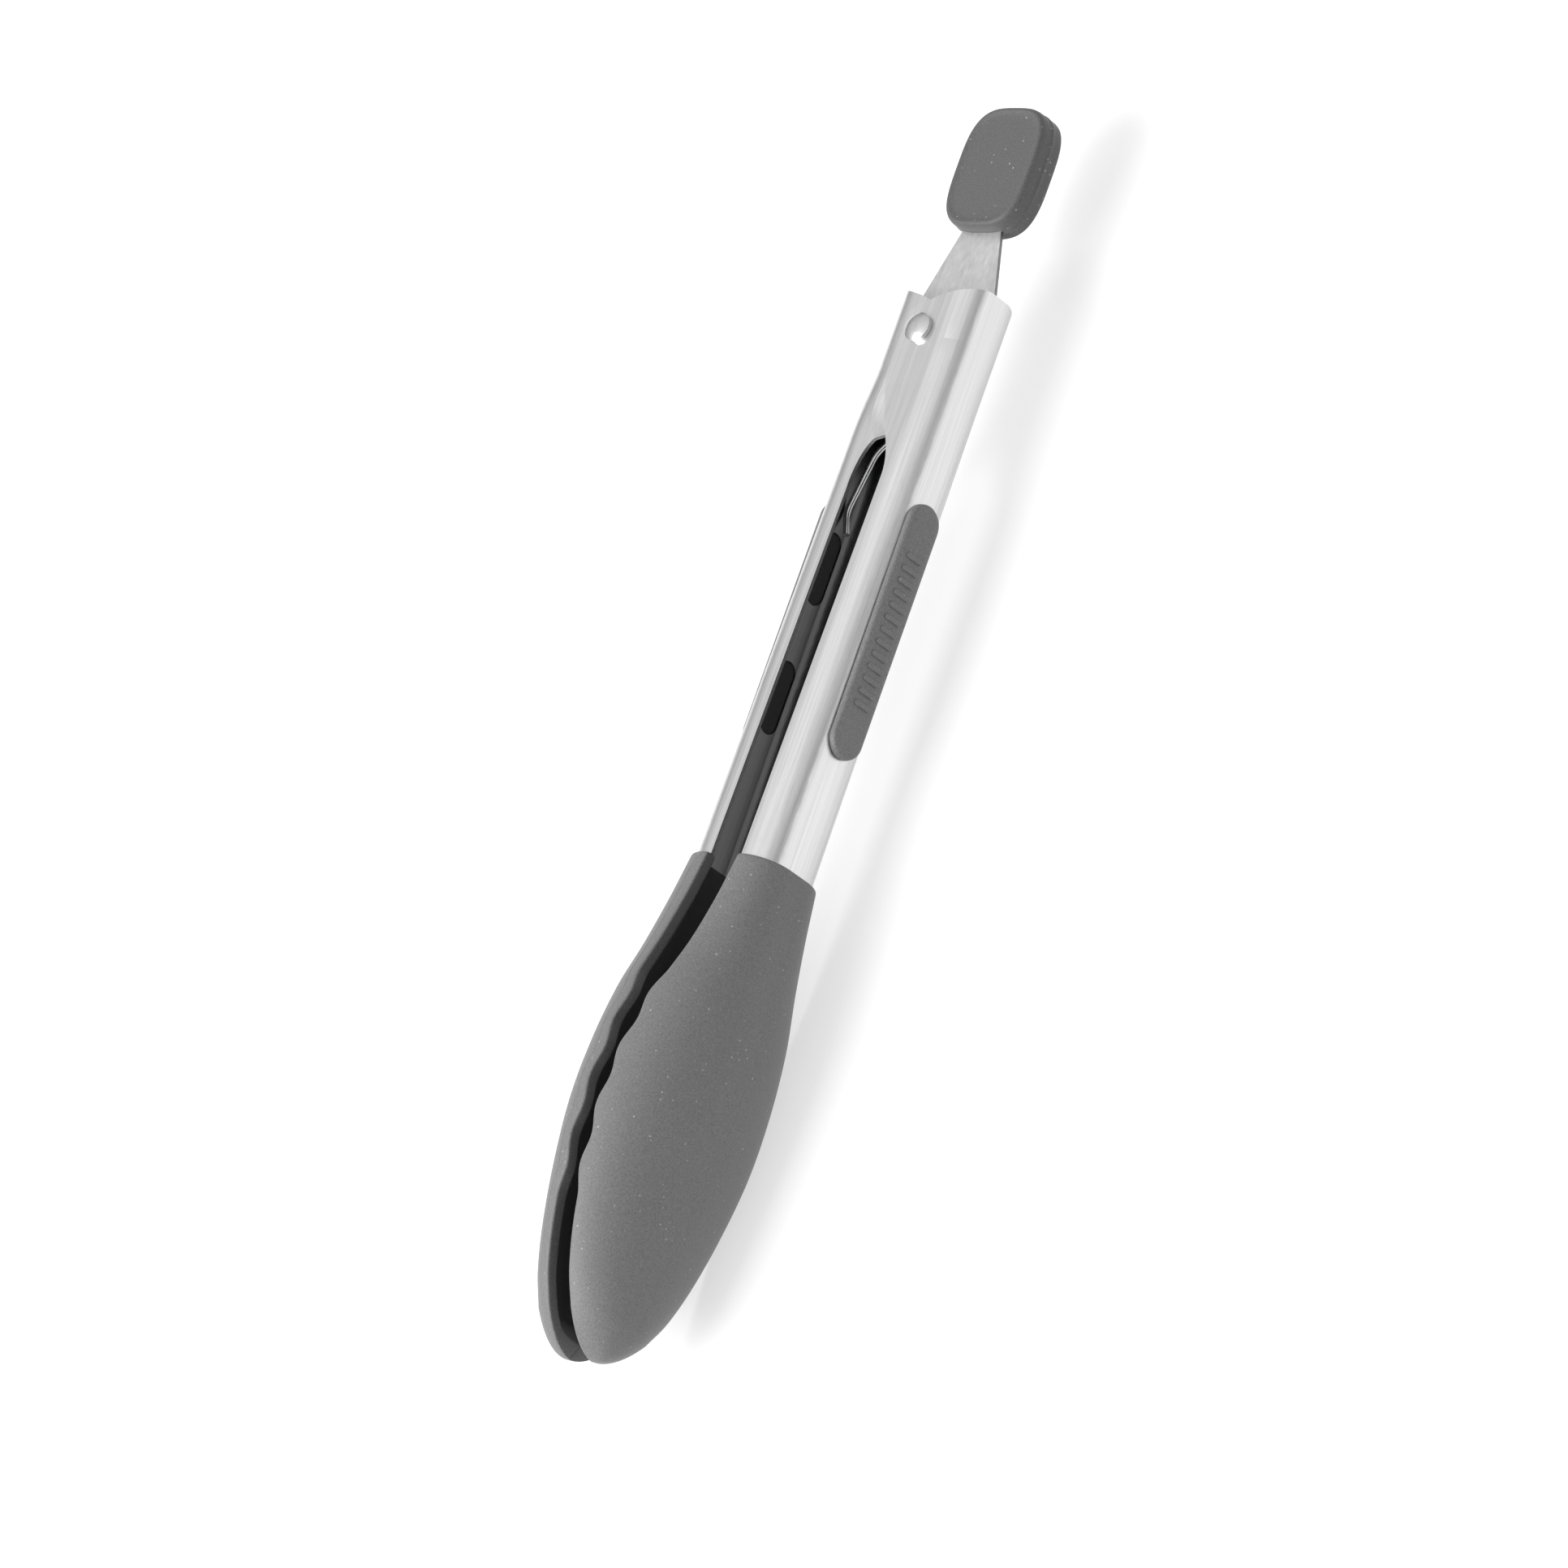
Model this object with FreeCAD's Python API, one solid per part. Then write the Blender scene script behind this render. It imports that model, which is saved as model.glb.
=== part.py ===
import FreeCAD, Part
import math
import os

# Spring loaded kitchen tongs, closed and locked, lying on their side.
# +X runs along the tongs to the pull tab, +Z along the rivet, and the back arm is at +Y.
# Everything is drawn about the rivet's axis first, with the jaws at negative x. Each arm is
# drawn with its back at +y, and the front arm is then mirrored to -y.

# Reach of the pieces from the rivet's axis, along the tongs
ARM_END = 10.2            # butt end of the steel
COLLAR_X = -112.6         # where the silicone head begins
HEAD_LENGTH = 101.1
TAB_START = 24.3
TAB_LENGTH = 26.2

# Steel channels
STEEL = 0.8
PIVOT_HALF_WIDTH = 7.3    # front arm, whose ears lie outside
INNER_HALF_WIDTH = 6.35   # back arm, pressed narrower where its ears lie inside
PIVOT_DEPTH = 10.8
PIVOT_CORNER = 5.2
PIVOT_ZONE_END = -12.0
COLLAR_HALF_WIDTH = 8.7
COLLAR_DEPTH = 10.9
COLLAR_CORNER = 6.0
EDGE_HEIGHT = 3.9         # free edges of the cheeks, from the middle plane
EAR_DROP = 4.4            # how far the ears pass the middle plane

# Rivet and lock
SHANK_RADIUS = 1.9
RUNNING_GAP = 0.05
RIVET_HEAD_RADIUS = 3.0
RIVET_HEAD_RIM = 0.9
RIVET_HEAD_DOME = 0.75
RIVET_HEAD_FLAT = 0.5
LOCK_TRAVEL = 9.5
PLATE_THICKNESS = 0.8
PLATE_HALF_WIDTH = 9.42
PLATE_NECK_HALF_WIDTH = 4.85
PLATE_INNER_END = -11.0
PLATE_CORNER = 3.0
PLATE_IN_TAB = 13.0
TAB_WIDTH = 20.2
TAB_THICKNESS = 6.9
TAB_CORNER = 8.2
TAB_EDGE = 0.9

# Torsion spring. Each leg crosses the middle plane, then runs out to its own arm's back.
# Its bends are given as x and distance towards its own arm.
WIRE_RADIUS = 0.65
COIL_RADIUS = 3.5
COIL_PITCH = 1.43
LEG_CROSSES_FROM = (-14.0, -2.2)
LEG_NEARS_WALL = (-24.0, 6.1)
LEG_TOUCHES_X = -36.2
LEG_END_X = -41.0
LEG_END_LIFT = 2.0
LEG_BEND_TRIM = 1.6
WALL_GAP = 0.06
BACK_LEG_END_Z = 0.1
FRONT_LEG_END_Z = 1.9

# Grip pads, with two plugs that hold each in its arm
PAD_LENGTH = 53.6
PAD_WIDTH = 8.2
PAD_CENTRE_X = -61.2
PAD_PROUD = 1.5
PLUG_LENGTH = 15.2
PLUG_WIDTH = 5.0
PLUG_CENTRES_X = (-48.3, -75.8)
PLUG_RECESS = 0.3

# Silicone heads, moulded over a steel scoop that ends each arm
SKIN = 1.0                # silicone outside the steel, and inside it
SCOOP_END = 95.0
LINING_END = 97.0
COLLAR_RIM = 3.9
VALLEY_RIM = 2.5          # rim height between scallops, in the middle of the head
TIP_RIM = 2.8
SCALLOP_PITCH = 12.0
SCALLOP_HEIGHT = 1.0
FIRST_PEAK = 33.0
SCALLOPS_START = FIRST_PEAK - SCALLOP_PITCH / 2
SCALLOPS_END = FIRST_PEAK + 3.5 * SCALLOP_PITCH
NOSE = ((0.1, 3.8), (1.0, 5.6), (3.0, 7.4), (9.0, 11.0))  # back from the tip, and out
# distance from the collar, half width, depth, and corner size as shares of those two
HEAD_STATIONS = (
    (0.0, COLLAR_HALF_WIDTH + SKIN, COLLAR_DEPTH + SKIN, 0.72, 0.59),
    (10.0, 11.4, 12.9, 0.76, 0.66),
    (20.0, 13.9, 14.0, 0.82, 0.76),
    (31.0, 17.5, 14.9, 0.88, 0.84),
    (43.0, 19.8, 15.1, 0.92, 0.89),
    (55.0, 20.5, 14.6, 0.93, 0.9),
    (67.0, 19.4, 13.4, 0.93, 0.89),
    (79.0, 16.9, 12.3, 0.93, 0.88),
    (88.0, 13.7, 11.3, 0.92, 0.86),
    (94.0, 10.2, 10.2, 0.9, 0.84),
    (97.8, 6.9, 9.2, 0.88, 0.82),
    (99.8, 4.3, 8.4, 0.88, 0.82),
    (HEAD_LENGTH, 1.3, 7.6, 0.88, 0.82),
)

TIP_X = COLLAR_X - HEAD_LENGTH
TAB_END = TAB_START + TAB_LENGTH
PIVOT_X = -(TIP_X + TAB_END) / 2
PIVOT_Z = max(station[1] for station in HEAD_STATIONS)
FAR = 60.0
BEZIER_QUARTER = 0.5523


def vec(x, y, z=0.0):
    return FreeCAD.Vector(x, y, z)


def smooth(share):
    share = min(max(share, 0.0), 1.0)
    return share * share * (3 - 2 * share)


def between(low, high, share):
    return low + (high - low) * share


def line(start, end):
    return Part.makeLine(start, end)


def quarter(start, corner, end):
    """An elliptical quarter turn from start to end, round the given corner."""
    curve = Part.BezierCurve()
    curve.setPoles([
        start,
        start + (corner - start) * BEZIER_QUARTER,
        end + (corner - end) * BEZIER_QUARTER,
        end,
    ])
    return curve.toShape()


def spline(points):
    curve = Part.BSplineCurve()
    curve.interpolate(points)
    return curve.toShape()


def prism(edges, low_z, high_z):
    """The solid inside a closed outline in the x-y plane, from low_z to high_z."""
    face = Part.Face(Part.Wire(edges))
    face.translate(vec(0, 0, low_z))
    return face.extrude(vec(0, 0, high_z - low_z))


def closed(points):
    """The straight edges that join the points in order."""
    return [line(a, b) for a, b in zip(points, points[1:])]


# Each channel section is an upturned U: (x, half width, depth, corner across, corner deep)

def channel_wire(section, inset, floor):
    x, half_width, depth, corner_z, corner_y = section
    half_width -= inset
    depth -= inset
    corner_z -= inset
    corner_y -= inset
    start = vec(x, floor, -half_width)
    low_turn = vec(x, depth - corner_y, -half_width)
    low_back = vec(x, depth, -half_width + corner_z)
    high_back = vec(x, depth, half_width - corner_z)
    high_turn = vec(x, depth - corner_y, half_width)
    end = vec(x, floor, half_width)
    return Part.Wire([
        line(start, low_turn),
        quarter(low_turn, vec(x, depth, -half_width), low_back),
        line(low_back, high_back),
        quarter(high_back, vec(x, depth, half_width), high_turn),
        line(high_turn, end),
        line(end, start),
    ])


def channel_solid(sections, inset, ruled, floor=-8.0):
    wires = [channel_wire(section, inset, floor) for section in sections]
    return Part.makeLoft(wires, True, ruled)


def channel_shell(sections, inset, wall, ruled):
    outer = channel_solid(sections, inset, ruled)
    inner = channel_solid(sections, inset + wall, ruled, -9.0)
    return outer.cut(inner)


def arm_section(x):
    """The straight part of an arm, which widens from the pivot zone to the collar."""
    share = (x - PIVOT_ZONE_END) / (COLLAR_X - PIVOT_ZONE_END)
    share = max(share, 0.0)
    corner = between(PIVOT_CORNER, COLLAR_CORNER, share)
    return (
        x,
        between(PIVOT_HALF_WIDTH, COLLAR_HALF_WIDTH, share),
        between(PIVOT_DEPTH, COLLAR_DEPTH, share),
        corner,
        corner,
    )


# The silicone head and the steel scoop inside it share one set of stations

def head_sections(last):
    """Sections from the collar to a distance from it, the last one worked out."""
    sections = []
    before = HEAD_STATIONS[0]
    for station in HEAD_STATIONS:
        if station[0] >= last:
            share = (last - before[0]) / (station[0] - before[0])
            station = tuple(between(a, b, share) for a, b in zip(before, station))
        away, half_width, depth, share_z, share_y = station
        sections.append((
            COLLAR_X - away,
            half_width,
            depth,
            half_width * share_z,
            depth * share_y,
        ))
        before = station
        if away >= last:
            break
    return sections


def rim_height(away):
    """Height of the head's rim above the middle plane, with its scallops."""
    narrowed = smooth((away - 16.0) / (SCALLOPS_START + 24.0 - 16.0))
    to_tip = smooth((away - SCALLOPS_END) / (HEAD_LENGTH - SCALLOPS_END))
    valley = between(between(COLLAR_RIM, VALLEY_RIM, narrowed), TIP_RIM, to_tip)
    if away < SCALLOPS_START or away > SCALLOPS_END:
        return valley
    wave = math.cos(2 * math.pi * (away - FIRST_PEAK) / SCALLOP_PITCH)
    return valley - SCALLOP_HEIGHT * (1 + wave) / 2


def above_rim(raise_by):
    """Everything further from the middle plane than the rim, as a solid."""
    spacing = SCALLOP_PITCH / 6
    count = round(HEAD_LENGTH / spacing)
    rim = []
    for i in range(count + 1):
        away = HEAD_LENGTH * i / count
        rim.append(vec(COLLAR_X - away, rim_height(away) + raise_by))
    nose = [rim[-1]] + [vec(TIP_X + back, out + raise_by) for back, out in NOSE]
    edges = [spline(rim), spline(nose)]
    edges += closed([nose[-1], vec(TIP_X + 9, FAR), vec(COLLAR_X, FAR), rim[0]])
    return prism(edges, -FAR, FAR)


def steel_scoop():
    shell = channel_shell(head_sections(SCOOP_END), SKIN, STEEL, False)
    return shell.common(above_rim(SKIN))


def silicone_head():
    outer = channel_solid(head_sections(HEAD_LENGTH), 0.0, False)
    hollow = channel_solid(head_sections(LINING_END), 2 * SKIN + STEEL, False, -9.0)
    return outer.cut(hollow).common(above_rim(0.0)).cut(steel_scoop())


# Outlines of the cheeks, each ending in an ear that the rivet passes through

def ear_end():
    """The rounded end of an ear, from its lower edge up to the butt end of the back."""
    slant = [vec(6.3, 0.3), vec(8.1, 5.0), vec(9.1, 8.6), vec(ARM_END, PIVOT_DEPTH)]
    return [
        Part.Arc(vec(0, -EAR_DROP), vec(4.4, -3.4), slant[0]).toShape(),
        spline(slant),
    ]


def cheek_outline(sweep):
    """An arm's side outline, with the given sweep from its ear to its free edge."""
    last = sweep[-1]
    edges = ear_end()
    edges += closed([
        vec(ARM_END, PIVOT_DEPTH),
        vec(ARM_END, FAR),
        vec(COLLAR_X, FAR),
        vec(COLLAR_X, EDGE_HEIGHT),
        last,
    ])
    edges.append(spline(list(reversed(sweep))))
    edges.append(line(sweep[0], vec(0, -EAR_DROP)))
    return prism(edges, -FAR, FAR)


def oblong(centre_x, length, width, low_y, high_y):
    """An upright block with round ends that runs through the arm's back."""
    radius = width / 2
    reach = length / 2 - radius
    block = Part.makeBox(2 * reach, high_y - low_y, width, vec(centre_x - reach, low_y, -radius))
    for x in (centre_x - reach, centre_x + reach):
        end = Part.makeCylinder(radius, high_y - low_y, vec(x, low_y, 0), vec(0, 1, 0))
        block = block.fuse(end)
    return block.removeSplitter()


def slots():
    return [oblong(x, PLUG_LENGTH, PLUG_WIDTH, PIVOT_DEPTH - 4, FAR) for x in PLUG_CENTRES_X]


def rivet_hole():
    radius = SHANK_RADIUS + RUNNING_GAP
    return Part.makeCylinder(radius, 2 * FAR, vec(0, 0, -FAR), vec(0, 0, 1))


def finish_arm(shell, sweep):
    arm = shell.common(cheek_outline(sweep))
    arm = arm.fuse(steel_scoop())
    arm = arm.cut(rivet_hole())
    for slot in slots():
        arm = arm.cut(slot)
    return arm.removeSplitter()


def front_arm():
    """The arm whose ears lie outside."""
    sections = [arm_section(x) for x in (ARM_END + 1, PIVOT_ZONE_END, COLLAR_X)]
    sweep = [
        vec(-6, -EAR_DROP),
        vec(-11.4, -3.8),
        vec(-16.8, -1.8),
        vec(-21.4, 0.3),
        vec(-26, 2.6),
        vec(-32, EDGE_HEIGHT),
    ]
    return finish_arm(channel_shell(sections, 0.0, STEEL, True), sweep)


# The back arm's cheeks step in under the front arm's ears. Each row gives x, how far the
# step has opened (0 to 1), and the height at which the cheek is down to its narrow width.
STEP_ROWS = (
    (-7.0, 0.0, 6.0),
    (-11.0, 0.25, 5.2),
    (-15.0, 0.65, 4.0),
    (-19.0, 0.92, 2.1),
    (-22.5, 1.0, 0.1),
    (-27.0, 1.0, -2.6),
    (-33.0, 1.0, -5.0),
)
STEP_RUN = 2.2


def stepped_wire(x, opened, step_low, inset, floor):
    _, wide, depth, corner, _ = arm_section(x)
    wide = between(INNER_HALF_WIDTH, wide, opened) - inset
    narrow = INNER_HALF_WIDTH - inset
    depth -= inset
    corner -= inset
    step_low = min(step_low, depth - corner - 1.25 * STEP_RUN)
    side = [
        vec(x, floor, narrow),
        vec(x, step_low, narrow),
        vec(x, step_low + STEP_RUN, wide),
        vec(x, depth - corner, wide),
    ]
    back = vec(x, depth, wide - corner)
    turned = [vec(x, p.y, -p.z) for p in side]
    turned_back = vec(x, depth, corner - wide)
    edges = closed(side)
    edges.append(quarter(side[-1], vec(x, depth, wide), back))
    edges.append(line(back, turned_back))
    edges.append(quarter(turned_back, vec(x, depth, -wide), turned[-1]))
    edges += closed(list(reversed(turned)))
    edges.append(line(turned[0], side[0]))
    return Part.Wire(edges)


def stepped_solid(inset, floor):
    wires = [stepped_wire(*row, inset, floor) for row in STEP_ROWS]
    return Part.makeLoft(wires, True, False)


def back_arm():
    """The arm whose ears lie inside, pressed narrower round the rivet."""
    narrow = [
        (x, INNER_HALF_WIDTH, PIVOT_DEPTH, PIVOT_CORNER, PIVOT_CORNER)
        for x in (ARM_END + 1, STEP_ROWS[0][0])
    ]
    wide = [arm_section(x) for x in (STEP_ROWS[-1][0], COLLAR_X)]
    step = stepped_solid(0.0, -8.0).cut(stepped_solid(STEEL, -9.0))
    shell = channel_shell(narrow, 0.0, STEEL, True)
    shell = shell.fuse([step, channel_shell(wide, 0.0, STEEL, True)])
    sweep = [
        vec(-12, -EAR_DROP),
        vec(-18, -3.2),
        vec(-21.5, -0.75),
        vec(-24.4, 1.9),
        vec(-29, 3.6),
        vec(-35, EDGE_HEIGHT),
    ]
    return finish_arm(shell, sweep)


def grip_pad():
    """A soft pad laid on the back of an arm, with plugs down into its two slots."""
    ends = (PAD_CENTRE_X - PAD_LENGTH / 2 - 1, PAD_CENTRE_X + PAD_LENGTH / 2 + 1)
    sections = [arm_section(x) for x in ends]
    outer = channel_solid(sections, -PAD_PROUD, True)
    skin = outer.cut(channel_solid(sections, 0.0, True, -9.0))
    pad = skin.common(oblong(PAD_CENTRE_X, PAD_LENGTH, PAD_WIDTH, 0.0, FAR))
    for x in PLUG_CENTRES_X:
        depth = arm_section(x)[2]
        low = depth - STEEL + PLUG_RECESS
        plug = oblong(x, PLUG_LENGTH - 0.2, PLUG_WIDTH - 0.2, low, depth + PAD_PROUD / 2)
        pad = pad.fuse(plug)
    return pad.removeSplitter()


def rivet():
    """One solid rivet, whose domed heads end in a small flat."""
    half = PIVOT_HALF_WIDTH + RUNNING_GAP
    rim = half + RIVET_HEAD_RIM
    pin = Part.makeCylinder(SHANK_RADIUS, 2 * half + 0.4, vec(0, 0, -half - 0.2))
    dome = Part.Arc(
        vec(RIVET_HEAD_RADIUS, 0, rim),
        vec(RIVET_HEAD_RADIUS * 0.62, 0, rim + RIVET_HEAD_DOME * 0.7),
        vec(RIVET_HEAD_FLAT, 0, rim + RIVET_HEAD_DOME),
    ).toShape()
    outline = closed([
        vec(RIVET_HEAD_FLAT, 0, rim + RIVET_HEAD_DOME),
        vec(0, 0, rim + RIVET_HEAD_DOME),
        vec(0, 0, half),
        vec(RIVET_HEAD_RADIUS, 0, half),
        vec(RIVET_HEAD_RADIUS, 0, rim),
    ])
    outline.append(dome)
    head = Part.Face(Part.Wire(outline)).revolve(vec(0, 0, 0), vec(0, 0, 1), 360)
    other = head.copy()
    other.rotate(vec(0, 0, 0), vec(1, 0, 0), 180)
    return pin.fuse([head, other]).removeSplitter()


def lock_plate():
    """Flat wedge with a slot for the rivet. Its wide end spreads the arms' butt ends."""
    half = PLATE_HALF_WIDTH
    neck = PLATE_NECK_HALF_WIDTH
    low = PLATE_INNER_END
    outline = [
        vec(low, PLATE_CORNER - half),
        vec(low, half - PLATE_CORNER),
        vec(low + PLATE_CORNER, half),
        vec(ARM_END, half),
        vec(TAB_START + 1, neck),
        vec(TAB_START + PLATE_IN_TAB, neck),
        vec(TAB_START + PLATE_IN_TAB, -neck),
        vec(TAB_START + 1, -neck),
        vec(ARM_END, -half),
        vec(low + PLATE_CORNER, -half),
        vec(low, PLATE_CORNER - half),
    ]
    plate = prism(closed(outline), -PLATE_THICKNESS / 2, PLATE_THICKNESS / 2)
    radius = SHANK_RADIUS + RUNNING_GAP
    slot = Part.makeBox(LOCK_TRAVEL, 2 * radius, 4, vec(0, -radius, -2))
    for x in (0, LOCK_TRAVEL):
        slot = slot.fuse(Part.makeCylinder(radius, 4, vec(x, 0, -2)))
    return plate.cut(slot)


def pull_tab():
    """Rounded silicone tab moulded over the neck of the lock plate."""
    corner = vec(TAB_START, -TAB_WIDTH / 2, -TAB_THICKNESS / 2)
    block = Part.makeBox(TAB_LENGTH, TAB_WIDTH, TAB_THICKNESS, corner)
    upright = [e for e in block.Edges if abs(e.Vertexes[0].Z - e.Vertexes[1].Z) > 1]
    block = block.makeFillet(TAB_CORNER, upright)
    flat = [e for e in block.Edges if abs(e.BoundBox.ZMax - e.BoundBox.ZMin) < 0.01]
    block = block.makeFillet(TAB_EDGE, flat)
    return block.cut(lock_plate())


def tube(path_edges, start, direction):
    """Round wire along a path of lines and arcs."""
    ring = Part.Wire(Part.makeCircle(WIRE_RADIUS, start, direction))
    return Part.Wire(path_edges).makePipeShell([ring], True, True)


def turn(start, corner, end):
    """The arc tangent to both runs that meet at a corner."""
    into = (corner - start).normalize()
    out = (end - corner).normalize()
    half_turn = into.getAngle(out) / 2
    radius = start.distanceToPoint(corner) / math.tan(half_turn)
    inward = (out - into).normalize()
    centre = corner + inward * (radius / math.cos(half_turn))
    return Part.Arc(start, centre - inward * radius, end).toShape()


def bent_wire(points):
    """Wire through the points, with every corner turned by an arc."""
    edges = []
    start = points[0]
    for before, point, after in zip(points, points[1:], points[2:]):
        arc_start = point + (before - point).normalize() * LEG_BEND_TRIM
        arc_end = point + (after - point).normalize() * LEG_BEND_TRIM
        edges.append(line(start, arc_start))
        edges.append(turn(arc_start, point, arc_end))
        start = arc_end
    edges.append(line(start, points[-1]))
    return tube(edges, points[0], points[1] - points[0])


def leg_angle():
    """Where on the coil a leg leaves it, as an angle about the rivet."""
    x, y = LEG_CROSSES_FROM
    return 2 * math.pi + math.atan2(y, x) + math.acos(COIL_RADIUS / math.hypot(x, y))


def spring_leg(z, end_z):
    """A leg of the spring, from the coil to the arm's back wall, with a turned-in end."""
    _, half_width, depth, corner, _ = arm_section(LEG_TOUCHES_X)
    into_corner = max(end_z - (half_width - corner), 0.0)
    reach = corner - STEEL - WIRE_RADIUS - WALL_GAP
    wall = depth - corner + math.sqrt(reach ** 2 - into_corner ** 2)
    angle = leg_angle()
    leaves = vec(COIL_RADIUS * math.cos(angle), COIL_RADIUS * math.sin(angle), z)
    crosses = vec(*LEG_CROSSES_FROM, z)
    return bent_wire([
        leaves + (crosses - leaves).normalize() * 0.2,
        crosses,
        vec(*LEG_NEARS_WALL, z),
        vec(LEG_TOUCHES_X, wall, end_z),
        vec(LEG_END_X, wall - LEG_END_LIFT, end_z),
    ])


def coil_turns():
    """Turns between the back arm's leg and the front arm's, which leave the coil mirrored."""
    return (-2 * leg_angle()) / (2 * math.pi) % 1 + 2


def spring_coil(low_z):
    """The turns of the spring round the rivet, between its two legs."""
    helix = Part.makeHelix(COIL_PITCH, COIL_PITCH * coil_turns(), COIL_RADIUS)
    ring = Part.Wire(Part.makeCircle(WIRE_RADIUS, vec(COIL_RADIUS, 0, 0), vec(0, 1, 0)))
    coil = helix.makePipeShell([ring], True, True)
    coil.rotate(vec(0, 0, 0), vec(0, 0, 1), math.degrees(leg_angle()))
    coil.translate(vec(0, 0, low_z))
    return coil


def mirrored(shape):
    return shape.mirror(vec(0, 0, 0), vec(0, 1, 0))


def write(node, shape):
    placed = shape.copy()
    placed.translate(vec(PIVOT_X, 0, PIVOT_Z))
    solids = placed.Solids
    if len(solids) == 1:
        placed = solids[0]
    placed.exportStep("parts/" + node + ".step")
    box = placed.BoundBox
    print(node, len(solids), placed.isValid(), round(placed.Volume, 1),
          [round(v, 2) for v in (box.XMin, box.YMin, box.ZMin, box.XMax, box.YMax, box.ZMax)])


def main():
    os.makedirs("parts", exist_ok=True)
    head = silicone_head()
    pad = grip_pad()
    low_z = PLATE_THICKNESS / 2 + RUNNING_GAP + WIRE_RADIUS
    high_z = low_z + COIL_PITCH * coil_turns()
    write("arm_back", back_arm())
    write("arm_front", mirrored(front_arm()))
    write("head_back", head)
    write("head_front", mirrored(head))
    write("grip_pad_back", pad)
    write("grip_pad_front", mirrored(pad))
    write("rivet", rivet())
    write("lock_plate", lock_plate())
    write("pull_tab", pull_tab())
    write("spring_coil", spring_coil(low_z))
    write("spring_leg_back", spring_leg(low_z, BACK_LEG_END_Z))
    write("spring_leg_front", mirrored(spring_leg(high_z, FRONT_LEG_END_Z)))


main()
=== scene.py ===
import math

import bpy
import numpy as np
from mathutils import Matrix, Vector


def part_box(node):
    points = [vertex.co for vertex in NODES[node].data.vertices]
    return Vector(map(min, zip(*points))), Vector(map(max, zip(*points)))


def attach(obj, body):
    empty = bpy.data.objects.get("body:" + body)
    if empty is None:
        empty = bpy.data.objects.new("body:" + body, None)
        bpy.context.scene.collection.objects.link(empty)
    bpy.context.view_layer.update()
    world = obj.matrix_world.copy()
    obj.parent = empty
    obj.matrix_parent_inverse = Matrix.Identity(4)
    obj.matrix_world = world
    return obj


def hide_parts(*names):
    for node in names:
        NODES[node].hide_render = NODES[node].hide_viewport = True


# Spring loaded kitchen tongs. Shapes are worked out in millimetres about the rivet's axis, with
# the jaws at negative x and an arm's back at positive s, then placed in the frame in metres.

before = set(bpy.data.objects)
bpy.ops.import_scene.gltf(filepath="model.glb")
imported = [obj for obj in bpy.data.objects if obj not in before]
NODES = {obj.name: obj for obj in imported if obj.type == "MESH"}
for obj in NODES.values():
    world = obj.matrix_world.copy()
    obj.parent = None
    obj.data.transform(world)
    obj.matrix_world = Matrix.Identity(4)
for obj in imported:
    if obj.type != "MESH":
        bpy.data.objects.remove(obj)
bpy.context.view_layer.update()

MM = 0.001
RIVET_LOW, RIVET_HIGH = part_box("rivet")
PIVOT = (RIVET_LOW + RIVET_HIGH) / 2

# Arms
PIVOT_HALF_WIDTH = 7.3
PIVOT_DEPTH = 10.8
PIVOT_CORNER = 5.2
PIVOT_ZONE_END = -12.0
COLLAR_X = -112.6
COLLAR_HALF_WIDTH = 8.7
COLLAR_DEPTH = 10.9
COLLAR_CORNER = 6.0
STEEL = 0.8
SMALLEST = 0.02

# Heads: distance from the collar, half width, depth, corner size as shares of those two
HEAD_LENGTH = 101.1
HEAD_STATIONS = (
    (0.0, 9.7, 11.9, 0.72, 0.59),
    (10.0, 11.4, 12.9, 0.76, 0.66),
    (20.0, 13.9, 14.0, 0.82, 0.76),
    (31.0, 17.5, 14.9, 0.88, 0.84),
    (43.0, 19.8, 15.1, 0.92, 0.89),
    (55.0, 20.5, 14.6, 0.93, 0.9),
    (67.0, 19.4, 13.4, 0.93, 0.89),
    (79.0, 16.9, 12.3, 0.93, 0.88),
    (88.0, 13.7, 11.3, 0.92, 0.86),
    (94.0, 10.2, 10.2, 0.9, 0.84),
)
NOSE_START = 94.0
NOSE_LOW = 2.8
NOSE_WIDTH_POWER = 0.51
NOSE_DEPTH_POWER = 0.38
WALL = 2.8
HOLLOW_FADES = 88.0
HOLLOW_END = 97.5
COLLAR_ROUNDING = ((0.0, 0.45), (0.06, 0.22), (0.25, 0.06))
COLLAR_RIM = 3.9
VALLEY_RIM = 2.5
TIP_RIM = 2.8
RIM_NARROWS = 16.0
RIM_NARROW_PAST_START = 24.0
EDGE_OUT = 0.45
EDGE_OUT_SHARE = 0.35
EDGE_IN = 0.5
HOLLOW_LEAST_SHARE = 0.3
LINING_LEAST_DEPTH = 0.04
HALF_POINTS = 26
ARC_POINTS = 5
CORNER_STEPS = 40
HEAD_STOPS = 150
NOSE_STOPS = 30
NOSE_CROWDING = 2.2
SCALLOP_PITCH = 12.0
SCALLOP_HEIGHT = 1.0
FIRST_PEAK = 33.0
SCALLOPS_START = FIRST_PEAK - SCALLOP_PITCH / 2
SCALLOPS_END = FIRST_PEAK + 3.5 * SCALLOP_PITCH
PARTING_START = 3.0
PARTING_END = 92.0
PARTING_ABOVE_RIM = 2.6
PARTING_RADIUS = 0.08
PARTING_SUNK = 0.03

# Grip pads
PAD_LENGTH = 53.6
PAD_WIDTH = 8.2
PAD_CENTRE_X = -61.2
PLUG_LENGTH = 15.0
PLUG_WIDTH = 4.8
PLUG_CENTRES_X = (-48.3, -75.8)
RIB_PITCH = 2.6
RIB_COUNT = 13
RIB_LENGTH = 4.6
RIB_WIDTH = 1.1

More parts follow.
